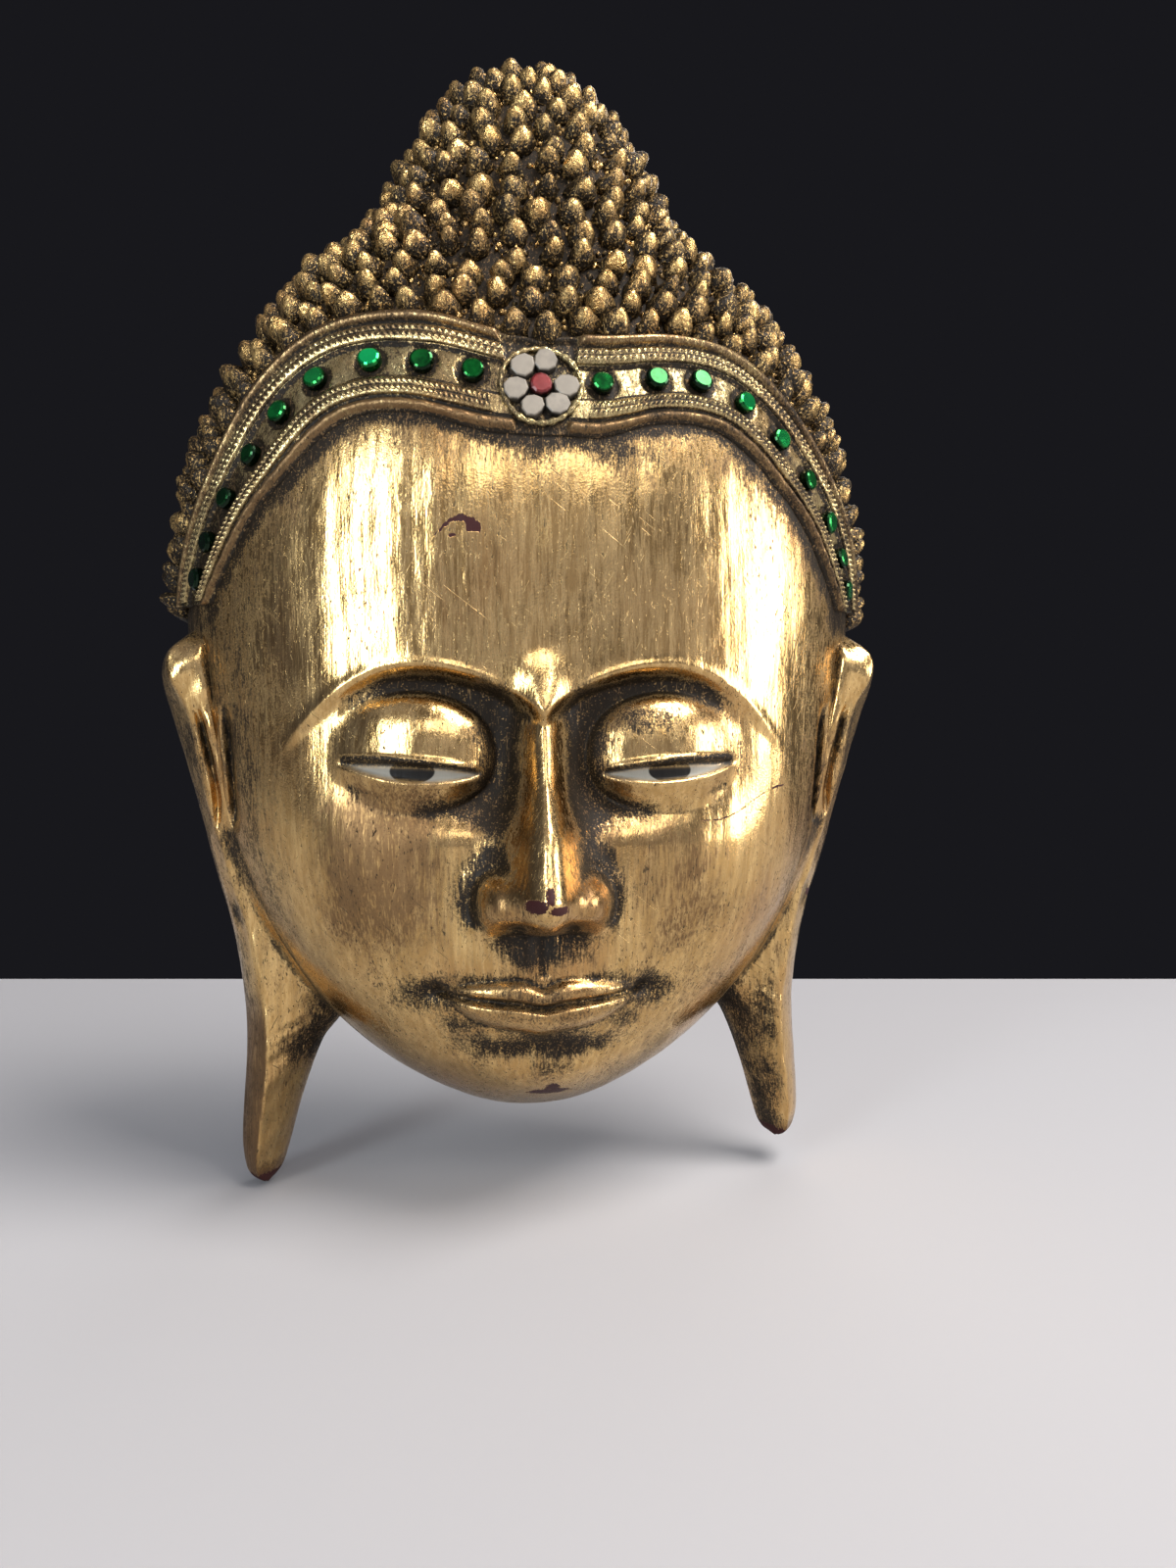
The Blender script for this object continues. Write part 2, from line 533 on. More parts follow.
glaze = most(copper, 0.9 * soft(soot, 9), 0.80 * jaw_edge, 0.26 * ramp(BROW - 30, CHIN + 60, z),
             patches(across, [(0.55, 0, MOUTH_Z - 1, 34, 11, 3.0), (0.62, 17, NOSE + 13, 12, 16)]),
             patches(x, [(0.52, 2, MOUTH_Z - 31, 20, 10)]))
glaze = glaze * (1 - 0.5 * bell(x, z, -62, -322, 34, 26))
scratch = hill(z + 233 - 0.30 * (x - 70) - 2.2 * np.sin(x / 7), 0.9)
scratch = 0.62 * scratch * ramp(60, 66, x) * ramp(112, 104, x)
chip_x, chip_z = x - CHIP_X, z - CHIP_Z
chip = hill(chip_z - 3.6 + 0.075 * (chip_x - 1) ** 2, 0.9 + 0.09 * (chip_x + 9), 4.0)
chip = chip * ramp(10, 8.5, np.abs(chip_x))
chip = most(chip, bell(chip_x, chip_z, 6, 0.6, 3.2, 2.6, 4.0), bell(chip_x, chip_z, -2, -2.6, 1.8, 0.9, 4.0))
bare = most(0.80 * chip, scratch, patches(x, BARE_SPOTS))

marks = skin_marks(BACK_COLUMNS, 0, 0, soot=soot, glaze=glaze, bare=bare, eye=slit, iris=iris)
marks.update(skin_marks(BACK_COLUMNS, 1, 0, wood=0 * x))
gold_face = gilding("burnished_leaf", streak=1.4, crumb=0.55)
head_ends = np.array([[0, 0, CHIN], [0, 0, CROWN_TOP]])
head = lay_tube("carved_head", head_rings, gold_face, marks, head_ends)
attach(head, "root")
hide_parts("mask")

# Ears. Carved from the same block: a round knob at the top, a thin outer rim, a groove and a middle
# ridge beside a dark slot, all melting into the cheek below, then a long three-sided blade of a lobe.
EAR_TOP = -153.0
EAR_END = -405.0
LOBE_TIPS = {-1: -405.0, 1: -393.0}
EAR_OUTER = [[-153, 147], [-158, 152], [-165, 159], [-175, 161.5], [-190, 158], [-225, 148.5],
             [-259, 140.5], [-286, 134], [-312, 130], [-340, 128.5], [-385, 131], [-398, 129.5],
             [-403, 126.5], [-405, 123.5]]
EAR_INNER = [[-153, 137], [-175, 133.5], [-205, 129.5], [-232, 127.5], [-255, 119.5], [-286, 100], [-325, 84],
             [-341, 94], [-365, 103], [-390, 110], [-398, 112.5], [-403, 115.5], [-405, 118.5]]
EAR_DEPTH = [[-153, 30], [-162, 41], [-180, 44], [-225, 37], [-286, 30], [-340, 28], [-385, 24], [-398, 20],
             [-403, 15], [-405, 9]]
RIDGE_IN = [[-153, 6], [-165, 6.5], [-190, 13], [-225, 9], [-300, 11], [-340, 12], [-385, 9.5], [-405, 6]]
GROOVE_IN = [[-176, 15], [-190, 16.5], [-205, 15.5], [-225, 13.5], [-242, 9]]
EAR_COLUMNS = 72
EAR_ROWS = 300
SKIP_BEHIND = 6
OFF_WALL = 0.2

for side, tip in LOBE_TIPS.items():
    down = np.linspace(1, 0, EAR_ROWS)[:, None]
    level = EAR_TOP + (EAR_END - EAR_TOP) * down
    place = EAR_TOP + (tip - EAR_TOP) * down
    share = 0.5 - 0.5 * np.cos(np.pi * np.linspace(0, 1, EAR_COLUMNS)[None, :])
    inner, outer = along(EAR_INNER, level), along(EAR_OUTER, level)
    from_inner = share * (outer - inner)
    from_outer = outer - inner - from_inner
    ridge = along(RIDGE_IN, level)
    from_groove = from_outer - along(GROOVE_IN, level)
    lobe = ramp(-300, -335, level)
    slot_part = ramp(-184, -198, level) * ramp(-246, -228, level)
    upper = ramp(-262, -235, level)
    outward = 0.52 + 0.48 * np.minimum(from_outer / ridge, 1.2 - 0.2 * upper)
    inward = 1.0 - lobe * 0.62 * np.clip(1 - from_inner / (outer - inner - ridge), 0, 1)
    wedge = -blend_up(-outward, -inward, 0.07)
    edge = np.clip(1 - np.abs(2 * share - 1) ** (8 - 3 * lobe), 0, 1) ** 0.5
    deep = along(EAR_DEPTH, level) * np.maximum(wedge * edge, 0.06)
    deep = deep * (1 - 0.07 * slot_part * ramp(3, 0, from_inner))
    deep = deep + (0.50 * slot_part + 0.21 * upper * (1 - slot_part)) * np.maximum(from_outer - ridge, 0)
    groove = slot_part * hill(from_groove, 1.5)
    knob = bell(outer - from_outer, level, 150, -173, 11, 13)
    dimple = bell(from_outer, level, 6.4, -280, 3.2, 8)
    facet = bell(from_outer, level, 3.0, -266, 4.5, 14)
    crust = bell(outer - from_outer, level, 103, -338, 13, 17) + 0.6 * ramp(-163, -156, level)
    rough_cut = 0.75 * waves(place + 60 * share, place, 23, 0.9)
    rough_cut = rough_cut + 0.8 * crust * waves(9 * from_inner, place * 2, 9, 2)
    deep = deep + edge * (1.2 * knob - 4.5 * groove - 2.4 * dimple + 1.4 * facet + rough_cut)
    ear_x = side * (inner + from_inner)
    skin = face_parts(ear_x, place)[0] - 0.5
    fillet = 1.5 + 10.5 * ramp(-226, -252, level) - 8.0 * ramp(-300, -325, level)
    deep = np.maximum(blend_up(deep, skin, fillet), 0.8)
    front = np.stack([ear_x, -deep, place + 0 * ear_x], -1)
    behind = front[:, ::-SKIP_BEHIND].copy()
    behind[..., 1] = -OFF_WALL

    slot_wall = ramp(1.2, 0.3, from_inner) * slot_part
    slot_wall = most(slot_wall, 0.66 * ramp(7, 3, from_inner) * ramp(-200, -186, level))
    copper_ridge = hill(from_inner - 4.8, 3.8, 4.0) * slot_part
    cheek_join = 0.70 * ramp(16, 5, from_inner) * ramp(-310, -262, level) * ramp(-226, -244, level)
    root = 0.64 * ramp(24, 6, from_inner) * hill(level + 331, 27, 3.0)
    root = root + 0.16 * bell(from_inner, level, 6, -334, 8, 12)
    inner_plane = (0.52 if side > 0 else 0.20) * lobe * ramp(ridge - 1, ridge + 4, from_outer)
    outer_plane = (0.16 if side > 0 else 0.30) * ramp(ridge - 1, ridge - 5, from_outer)
    upper_rim = 0.62 * ramp(ridge + 0.5, ridge - 2, from_outer) * ramp(-280, -190, level)
    bright_facet = ramp(ridge - 0.5, ridge + 1.5, from_outer) * ramp(-160, -165, level)
    bright_facet = bright_facet * ramp(-198, -186, level) * ramp(3, 6, from_inner)
    crease = np.clip((soft(deep, 3) - deep) / 0.9, 0, 1)
    dark = most(0.97 * slot_wall, 0.85 * slot_part * hill(from_groove, 2.6), 0.60 * dimple, root, inner_plane,
                outer_plane, upper_rim, 0.6 * crease, cheek_join, 0.70 * ramp(-165, -155, level),
                0.13 + 0.23 * upper)
    dark = dark * (1 - 0.75 * copper_ridge) * (1 - 0.8 * bright_facet)
    root_veil = 0.75 * hill(from_inner - 4, 15, 3.0) * hill(level + 333, 30, 3.0)
    outer_veil = (0.92 if side < 0 else 0.1) * lobe * ramp(ridge + 1, ridge - 1, from_outer)
    veil = most(0.9 * soft(dark, 6) * (1 - copper_ridge), 0.52 * copper_ridge, 0.85 * ramp(-388, -400, level),
                root_veil, outer_veil)
    worn_edge = 0.50 * ramp(-378, -400, level) * ramp(3.5, 1.0, from_outer)
    spot = (0.75 if side > 0 else 0.0) * bell(from_outer, level, 4, -280, 2.6, 3)
    worn = most(0.64 * ramp(-394, -401, level), worn_edge, spot)
    marks = skin_marks(behind.shape[1], 0, 0.5, soot=dark, glaze=veil, bare=worn)
    marks.update(skin_marks(behind.shape[1], 1, 0.5, wood=0 * dark))
    ear = lay_tube("ear_left" if side < 0 else "ear_right", np.concatenate([front, behind], 1), gold_face,
                   marks, turned=side < 0)
    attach(ear, "root")
    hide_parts("mask")

# Snail curls. Small rounded cones of lacquer paste pressed on to the scalp in rows that follow the
# band, gilt on their tops and left dark between.
CURL_PITCH = 13.8
CURL_ROW = 11.2
CURL_ROWS = 20
CURL_HEIGHT = 9.4
CURL_RADIUS = 5.9
CURL_SIDES = 10
CURL_PROFILE = [[-0.3, 1.02], [0.15, 1.0], [0.48, 0.84], [0.76, 0.58], [0.95, 0.27]]
HAIR_END = 89.0
RIM_CLEAR = 9.5
RIM_INSET = 4.5
RIM_PITCH = 12.6
CURL_LIGHT = (0.92, 0.62, 0.24, 1)
CURL_DEEP = (0.52, 0.31, 0.11, 1)


def unit(ways):
    """The same directions, each one long."""
    return ways / np.linalg.norm(ways, axis=-1, keepdims=True)


def head_normal(x, z):
    """Outward direction of the plain head's surface, from its slopes across and up."""
    d = 0.5
    limit = half_width(z) - 1
    x = np.clip(x, -limit, limit)
    gx = (head_depth(x + d, z) - head_depth(x - d, z)) / (2 * d)
    gz = (head_depth(x, z + d) - head_depth(x, z - d)) / (2 * d)
    return unit(np.stack([-gx, -np.ones_like(gx), -gz], -1))


def head_point(x, z):
    """The place on the plain head at x and z."""
    return np.stack([x, -head_depth(x, z), z + 0 * x], -1)


def on_ray(angle, radius):
    """Across and up of a place at this distance from the centre on a ray this far from upright."""
    a = np.radians(angle)
    return radius * np.sin(a), CENTRE_Z + radius * np.cos(a)


def shake(k, seed):
    """A fixed scatter between -0.5 and 0.5 for each number k."""
    v = np.sin(k * 12.9898 + seed * 78.233) * 43758.5453
    return v - np.floor(v) - 0.5


def run_of(points):
    """How far along a line each of its points lies."""
    return np.concatenate([[0], np.cumsum(np.linalg.norm(np.diff(points, axis=0), axis=1))])


def lay_studs(name, feet, up, right, rise, heights, rings, ends, material, marks, smooth=True):
    """Many small turned shapes in one mesh: rings at these heights up each axis, and a pole at both ends."""
    sides = rings.shape[-1]
    a = 2 * np.pi * np.arange(sides) / sides
    body = (feet[:, None, None, :] + up[:, None, None, :] * heights[:, :, None, None]
            + right[:, None, None, :] * (rings * np.cos(a))[..., None]
            + rise[:, None, None, :] * (rings * np.sin(a))[..., None])
    points = np.concatenate([body.reshape(len(feet), -1, 3), np.stack(ends, 1)], 1)
    first = points.shape[1] * np.arange(len(feet))[:, None, None]
    faces = [(part + first).reshape(-1, part.shape[1]) for part in tube_faces(rings.shape[1], sides)]
    points = points.reshape(-1, 3)
    points[:, 1] = np.minimum(points[:, 1], -OFF_WALL)
    return lay_mesh(name, points, faces, material, marks, smooth)


fan = np.linspace(-HAIR_END, HAIR_END, 713)
low_edge, top_edge = band_edges(fan)
start = low_edge + 0.97 * (top_edge - low_edge)
radii = start[:, None] + np.linspace(0, 1, 450)[None, :] * (CROWN_TOP + 4 - CENTRE_Z - start)[:, None]
rx, rz = on_ray(fan[:, None], radii)
inside = (np.abs(rx) < half_width(rz)) & (rz < CROWN_TOP)
spots = head_point(rx, rz)
spots[..., 1] = np.where(inside, spots[..., 1], 0)
steps = np.linalg.norm(np.diff(spots, axis=1), axis=-1) * inside[:, 1:]
runs = np.concatenate([np.zeros((len(fan), 1)), np.cumsum(steps, 1)], 1)
full = runs[:, -1]


def climb(rays, lifts):
    """The place reached on each of these rays after a climb of so many millimetres over the scalp."""
    cells = (runs[rays] < lifts[:, None]).sum(1)
    return spots[rays, np.clip(cells, 0, runs.shape[1] - 1)]


curls = []
for row in range(CURL_ROWS):
    want = CURL_ROW * (row + 0.5)
    here = climb(np.arange(len(fan)), np.full(len(fan), want))
    hop = np.linalg.norm(np.diff(here, axis=0), axis=1)
    length = np.concatenate([[0], np.cumsum(np.minimum(hop, 4))])
    count = int(length[-1] / CURL_PITCH)
    places = (np.arange(count) + 0.5 + 0.5 * (row % 2)) * CURL_PITCH
    angle = np.interp(places, length, fan)[places < length[-1]]
    lift = want + 4.0 * shake(np.arange(len(angle)) + 31.0 * row, 1)
    ray = np.clip(np.searchsorted(fan, angle), 0, len(fan) - 1)
    keep = lift < full[ray] - RIM_CLEAR
    curls.append(climb(ray[keep], lift[keep]))
rim = climb(np.arange(len(fan)), full - RIM_INSET)
length = run_of(rim[:, ::2])
places = np.linspace(3, length[-1] - 3, int(length[-1] / RIM_PITCH))
curls.append(rim[np.clip(np.searchsorted(length, places), 0, len(rim) - 1)])
seats = np.concatenate(curls)
order = np.arange(len(seats))
seats = seats + np.stack([2.6 * shake(order, 2), 0 * order, 1.8 * shake(order, 3)], -1)
out = head_normal(seats[:, 0], seats[:, 2]) + np.array([0, 0, 0.26])
out = unit(out + np.stack([0.42 * shake(order, 4), 0 * order, 0.36 * shake(order, 5)], -1))
right = -unit(np.cross(out, [0, 0, 1.0]))
rise = np.cross(right, out)
a = 2 * np.pi * np.arange(CURL_SIDES) / CURL_SIDES
profile = np.array(CURL_PROFILE)
up_share, wide_share = profile[None, :, :1], profile[None, :, 1:]
tall = CURL_HEIGHT * (1 + 0.30 * shake(order, 6))
fat = CURL_RADIUS * (1 + 0.30 * shake(order, 7))
lump = 1 + 0.13 * np.sin(3 * a + 6.3 * shake(order, 8)[:, None, None] + 2.5 * up_share)
lump = lump + 0.06 * np.sin(5 * a + 9.1 * shake(order, 9)[:, None, None] - 4 * up_share)
under = np.clip(-np.sin(a + 0.35), 0, 1)
hollow = 0.80 * ramp(-0.10, 0.30, shake(order, 10))[:, None, None] * under * hill(up_share - 0.35, 0.35)
crumble = 1 + 0.26 * shake(np.arange(lump.size), 14).reshape(lump.shape)
curl_rings = fat[:, None, None] * wide_share * lump * crumble * (1 - hollow)
curl_ends = [seats - 0.3 * tall[:, None] * out, seats + tall[:, None] * out]
rank = np.concatenate([np.repeat(profile[:, 0], CURL_SIDES), [0, 1]])
shade = np.tile(0.95 * under ** 0.7 - 0.10 * np.clip(np.sin(a), 0, 1), len(profile))
shade = np.concatenate([shade, [0, 0]])
low_left = ramp(-70, -135, seats[:, 0]) * ramp(-10, -90, seats[:, 2])
lit_right = ramp(40, 130, seats[:, 0])
gilt = 0.79 + 0.45 * shake(order, 12) - 0.10 * hill(seats[:, 0], 70) - 0.46 * low_left - 0.16 * lit_right
curl_soot = 0.98 - gilt[:, None] * np.clip(rank, 0, 1)[None, :] ** 1.1 * (1 - shade)[None, :]
curl_heights = tall[:, None] * profile[None, :, 0]
curl_leaf = gilding("curl_leaf", crumb=7.0, dusk=0.06, crumbs_per_metre=820, light=CURL_LIGHT, deep=CURL_DEEP,
                    glint=0.57)
curl_pieces = lay_studs("snail_curls", seats, out, right, rise, curl_heights, curl_rings, curl_ends,
                        curl_leaf, {"soot": curl_soot})
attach(curl_pieces, "root")
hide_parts("mask")

# Crumbs of paste. Small lumps of the same paste, squeezed out or dropped on the scalp between the
# curls when they were pressed on. Most are dark and some are touched with leaf.
CRUMBS_EACH = 7
CRUMB_SIDES = 5
CRUMB_HEIGHTS = np.array([[-1.0, 0.7]])
CRUMB_WIDTHS = np.array([1.25, 0.95])

host = np.repeat(order, CRUMBS_EACH)
number = np.arange(len(host))
swing = 2 * np.pi * (shake(number, 21) + number / CRUMBS_EACH)
away = CURL_RADIUS * (1.15 + 0.60 * shake(number, 22))
spot_x = seats[host, 0] + away * np.cos(swing)
spot_z = seats[host, 2] + away * np.sin(swing)
reach = np.hypot(spot_x, spot_z - CENTRE_Z)
ray = np.degrees(np.arctan2(spot_x, spot_z - CENTRE_Z))
kept = (reach > band_edges(ray)[1] + 2) & (np.abs(spot_x) < half_width(spot_z) - 3) & (spot_z < CROWN_TOP - 3)
number, spot_x, spot_z = number[kept], spot_x[kept], spot_z[kept]
foot, up = head_point(spot_x, spot_z), head_normal(spot_x, spot_z)
side_way = unit(np.cross(up, [0, 0, 1.0]))
loose = 1 + 0.7 * shake(np.arange(len(number) * 2 * CRUMB_SIDES), 24).reshape(len(number), 2, CRUMB_SIDES)
bulk = (1 + 1.3 * shake(number, 23))[:, None, None] * CRUMB_WIDTHS[None, :, None] * loose
crumb_ends = [foot - 1.2 * up, foot + (1.7 + 1.6 * shake(number, 25))[:, None] * up]
crumb_soot = np.repeat(0.50 + 0.9 * shake(number, 26), 2 * CRUMB_SIDES + 2)
crumb_pieces = lay_studs("paste_crumbs", foot, up, side_way, np.cross(side_way, up), CRUMB_HEIGHTS, bulk,
                         crumb_ends, curl_leaf, {"soot": crumb_soot})
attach(crumb_pieces, "root")
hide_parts("mask")

# Headband. A broad moulding of paste laid round the forehead: a thin roll at the hairline, a seat for
# each beaded strip, a sunk channel for the glass between them, and a stouter roll against the hair.
BAND_PITCH = 0.85
BAND_SECTION = 64
SECTION_BURIED = 5.0
FLOWER_SEAT = 0.8
UPPER_SEAT = 2.4
LOWER_SEAT = 1.7
BAND_LIGHT = (0.76, 0.62, 0.31, 1)
BAND_DEEP = (0.44, 0.34, 0.155, 1)
GLASS_ANGLES = {"left": [-16, -25.5, -34.2, -43.8, -52.2, -61, -69.5, -77.3, -83.6],
                "right": [15.5, 27, 35.2, 44.5, 54.2, 63.3, 71.7, 78.6, 84.2]}


def on_band(angle, share, lift):
    """Places over the band: shares run over the head's surface from the lower edge to the upper."""
    low, top = band_edges(angle)
    grid = low[:, None] + (top - low)[:, None] * np.linspace(0, 1, 61)[None, :]
    gx, gz = on_ray(angle[:, None], grid)
    steps = np.linalg.norm(np.diff(head_point(gx, gz), axis=1), axis=-1)
    run = np.concatenate([np.zeros((len(angle), 1)), np.cumsum(steps, 1)], 1)
    want = share * run[:, -1:]
    cell = np.clip((run[:, None, :] < want[:, :, None]).sum(-1), 1, 60)
    before = np.take_along_axis(run, cell - 1, 1)
    after = np.take_along_axis(run, cell, 1)
    part = np.clip((want - before) / (after - before), 0, 1)
    radius = np.take_along_axis(grid, cell - 1, 1) * (1 - part) + np.take_along_axis(grid, cell, 1) * part
    px, pz = on_ray(angle[:, None], radius)
    return head_point(px, pz) + head_normal(px, pz) * lift[..., None]


def mid_band(angles):
    """Places on the head half-way up the band."""
    return on_band(angles, np.full((len(angles), 1), 0.5), np.zeros((len(angles), 1)))[:, 0]


def band_angles(start, end, pitch):
    """Angles that lie an even distance apart along the middle of the band, with those distances."""
    fine = np.linspace(start, end, 900)
    length = run_of(mid_band(fine))
    count = int(round(length[-1] / pitch))
    even = np.linspace(0, length[-1], count + 1)
    return np.interp(even, length, fine), even


angle, run = band_angles(-BAND_END, BAND_END, BAND_PITCH)
share = np.concatenate([[0.0], np.linspace(0.012, 0.988, BAND_SECTION), [1.0]])[None, :] + 0 * angle[:, None]
thin = 3.5 * dome((share - 0.075) / 0.055, 2, 2) * (1 + 0.05 * np.cos(2 * np.pi * run / 9.1)[:, None])
stout = 5.4 * dome((share - 0.925) / 0.06, 2.4, 2)
seat = LOWER_SEAT * ramp(0.135, 0.15, share) * ramp(0.35, 0.335, share)
seat = seat + UPPER_SEAT * ramp(0.65, 0.665, share) * ramp(0.865, 0.85, share)
run_here, share_here = run[:, None] + 0 * share, share * 40
sunk = 0.8 + 0.25 * waves(run_here, share_here, 6.0, 0.7)
profile_lift = most(thin, stout, seat, sunk)
clear = ramp(7.5, 9.5, np.abs(angle))[:, None]
plain = FLOWER_SEAT + 0.25 * waves(run_here, share_here, 5.0, 1.9)
plain = np.maximum(plain, 2.6 * dome((share - 0.955) / 0.04, 2.4, 2))
profile_lift = plain + (profile_lift - plain) * clear
glass_seats = {label: mid_band(np.array(angles)) for label, angles in GLASS_ANGLES.items()}
middles = np.concatenate(list(glass_seats.values()))
near = np.linalg.norm(on_band(angle, share, sunk)[:, :, None, :] - middles[None, None], axis=-1).min(-1)
pit = ramp(7.6, 6.4, near) * ramp(0.34, 0.37, share) * ramp(0.66, 0.63, share)
front = on_band(angle, share, profile_lift - 0.7 * pit)
under = on_band(angle, share[:, [-1, 0]], np.full((len(angle), 2), -SECTION_BURIED))
gap = most(hill(share - 0.143, 0.018), hill(share - 0.345, 0.016), hill(share - 0.655, 0.016),
           hill(share - 0.862, 0.016), hill(share, 0.02))
channel = ramp(0.33, 0.36, share) * ramp(0.67, 0.64, share)
low_left = ramp(-52, -74, angle)[:, None]
by_side = 0.13 * ramp(15, 45, angle) - 0.10 * hill(angle + 36, 24)
band_soot = most(gap, (0.34 + 0.40 * low_left) * channel, 0.22 + by_side[:, None], 0.58 * (1 - clear),
                 0.98 * pit)
rolls = 0.75 * ramp(0.14, 0.12, share) + 0.55 * ramp(0.86, 0.88, share)
band_glaze = most(0.6 * band_soot, rolls)
band_leaf = gilding("band_leaf", streak=0.3, crumb=2.6, dusk=0.10, crumbs_per_metre=700, light=BAND_LIGHT,
                    deep=BAND_DEEP, glint=0.60)
band = lay_tube("headband", np.concatenate([front, under], 1), band_leaf,
                skin_marks(2, 1, 1, soot=band_soot, glaze=band_glaze), turned=True)
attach(band, "root")
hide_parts("mask")

# Beaded strips. Moulded ribbons of paste with two rows of tiny beads between plain edges, cut off
# square beside the flower and laid on the band's seats.
STRIPS = {"strip_upper": (8.5, 0.675, 0.845, UPPER_SEAT), "strip_lower": (14.0, 0.155, 0.325, LOWER_SEAT)}
BEAD_PITCH = 2.35
STRIP_END = BAND_END - 0.6
STRIP_PITCH = 0.46
STRIP_SECTION = 22
STRIP_SUNK = 0.8
STRIP_THICK = 2.3

v = np.linspace(0, 1, STRIP_SECTION)[None, :]
rows = hill(v - 0.31, 0.13, 3) + hill(v - 0.69, 0.13, 3)
seams = most(0.75 * hill(v - 0.5, 0.05), 0.5 * hill(v, 0.06) + 0.5 * hill(1 - v, 0.06))
for strip_name, (clearance, low_share, high_share, seat_lift) in STRIPS.items():
    halves = {"left": (-STRIP_END, -clearance, 0.8), "right": (clearance, STRIP_END, 0.0)}
    for label, (start, end, phase) in halves.items():
        angle, run = band_angles(start, end, STRIP_PITCH)
        share = low_share + (high_share - low_share) * v + 0 * angle[:, None]
        beat = 0.5 + 0.5 * np.cos(2 * np.pi * run / BEAD_PITCH + phase)[:, None]
        lift = STRIP_THICK * (0.62 * dome(2 * v - 1, 8, 2) + 0.38 * rows * (0.25 + 0.75 * beat ** 0.8))
        lift = lift + 0.12 * waves(run[:, None], 30 * v, 7.0, 0.3)
        front = on_band(angle, share, seat_lift + lift)
        under = on_band(angle, share[:, [-1, 0]], np.full((len(angle), 2), seat_lift - STRIP_SUNK))
        nest = most(0.6 * (1 - beat) * rows, seams) + 0.16 * ramp(15, 45, angle)[:, None]
        marks = skin_marks(2, 1, 0.5, soot=nest)
        marks["glaze"] = 0.16 + 0.5 * marks["soot"]
        strip = lay_tube(strip_name + "_" + label + "_beaded", np.concatenate([front, under], 1), band_leaf,
                         marks, turned=True)
        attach(strip, "root")
        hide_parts(strip_name + "_" + label)

# Green glass. Nine small slugs on each side, cut round with a narrow bevel, backed with foil and
# pressed into the sunk channel.
GLASS_RADIUS = 4.7
GLASS_LOW = 0.6
GLASS_TOP = 4.4
GLASS_BEVEL = 1.3
GLASS_SIDES = 20
GLASS_DEEPS = {"left": [0.55, 0.6, 0.0, 0.32, 0.35, 0.85, 0.92, 0.97, 0.95],
               "right": [0.50, 0.88, 0.80, 0.20, 0.30, 0.40, 0.35, 0.50, 0.45]}
GLASS_SEEDS = {"left": (-20.0, 10, 14), "right": (20.0, 41, 42)}


def glass_finish(name, colour, shade, bright, rough=0.1, metal=0.85):
    """Foil-backed glass: a mirror of deep colour, a little cloudy and uneven, under a clear hard skin."""
    material, tree, shader = new_material(name)
    deep = mark(tree, "deep")
    body = grain(tree, (260, 260, 260)).span(0.40, 0.66).tint(colour, shade)
    body = deep.span(0.0, 0.4).tint(bright, body)
    body = deep.span(0.5, 1.0).tint(body, [0.12 * part for part in shade[:3]] + [1])
    cloudy = grain(tree, (500, 500, 500), detail=2.0) * 0.25 + (rough - 0.08)
    bump = put(tree, "ShaderNodeBump", {"Strength": 0.3, "Distance": 0.0002,
                                        "Height": grain(tree, (150, 150, 150), detail=1.0)})
    fill(tree, shader, {"Base Color": body, "Metallic": metal, "Roughness": cloudy, "Coat Weight": 0.2,
                        "Coat Roughness": 0.05, "Normal": bump.outputs[0]})
    return material


def slugs(name, material, middles, outs, ups, radius, low, top, sides, bevel, seeds, wobble, deeps):
    """Flat slugs, a little out of round, ringed at foot, shoulder and bevelled face. Deeps says how dark."""
    a = 2 * np.pi * np.arange(sides) / sides
    heights = np.array([[low, low + 0.02, top - bevel, top - 0.35 * bevel, top]])
    widths = np.array([1.0, 1.0, 1.0, 1 - 0.35 * bevel / radius, 1 - bevel / radius])
    shape = 1 + wobble * np.sin(2 * a[None, :] + 6 * shake(seeds, 1)[:, None])
    shape = shape + wobble * np.sin(3 * a[None, :] + 6 * shake(seeds, 2)[:, None])
    rings = radius * (1 + 0.10 * shake(seeds, 3))[:, None, None] * widths[None, :, None] * shape[:, None, :]
    edge = np.concatenate([np.repeat([0.6, 0.6, 0.55, 0.1, 0.0], sides), [0.6, 0.0]])
    deep = 0.4 * (edge > 0) + 0.6 * edge[None, :] + np.asarray(deeps)[:, None]
    ends = [middles + low * outs, middles + (top + 0.05) * outs]
    return lay_studs(name, middles, outs, np.cross(ups, outs), ups, heights, rings, ends, material,
                     {"deep": deep}, smooth=False)


green = glass_finish("green_glass", (0.008, 0.25, 0.038, 1), (0.004, 0.10, 0.018, 1), (0.003, 0.60, 0.15, 1))
for label, (first_seed, *tilt_seeds) in GLASS_SEEDS.items():
    middles = glass_seats[label]
    number = np.arange(len(middles))
    sideways, upward = (shake(number, seed) for seed in tilt_seeds)
    outs = head_normal(middles[:, 0], middles[:, 2])
    outs = unit(outs + 0.24 * np.stack([sideways, 0 * number, upward], -1))
    ups = unit(np.array([0, 0, 1.0]) - outs * outs[:, 2:])
    glass = slugs("green_glass_" + label, green, middles, outs, ups, GLASS_RADIUS, GLASS_LOW, GLASS_TOP,
                  GLASS_SIDES, GLASS_BEVEL, number + first_seed, 0.02, GLASS_DEEPS[label])
    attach(glass, "root")
    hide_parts(*["glass_%s_%d" % (label, k + 1) for k in number])

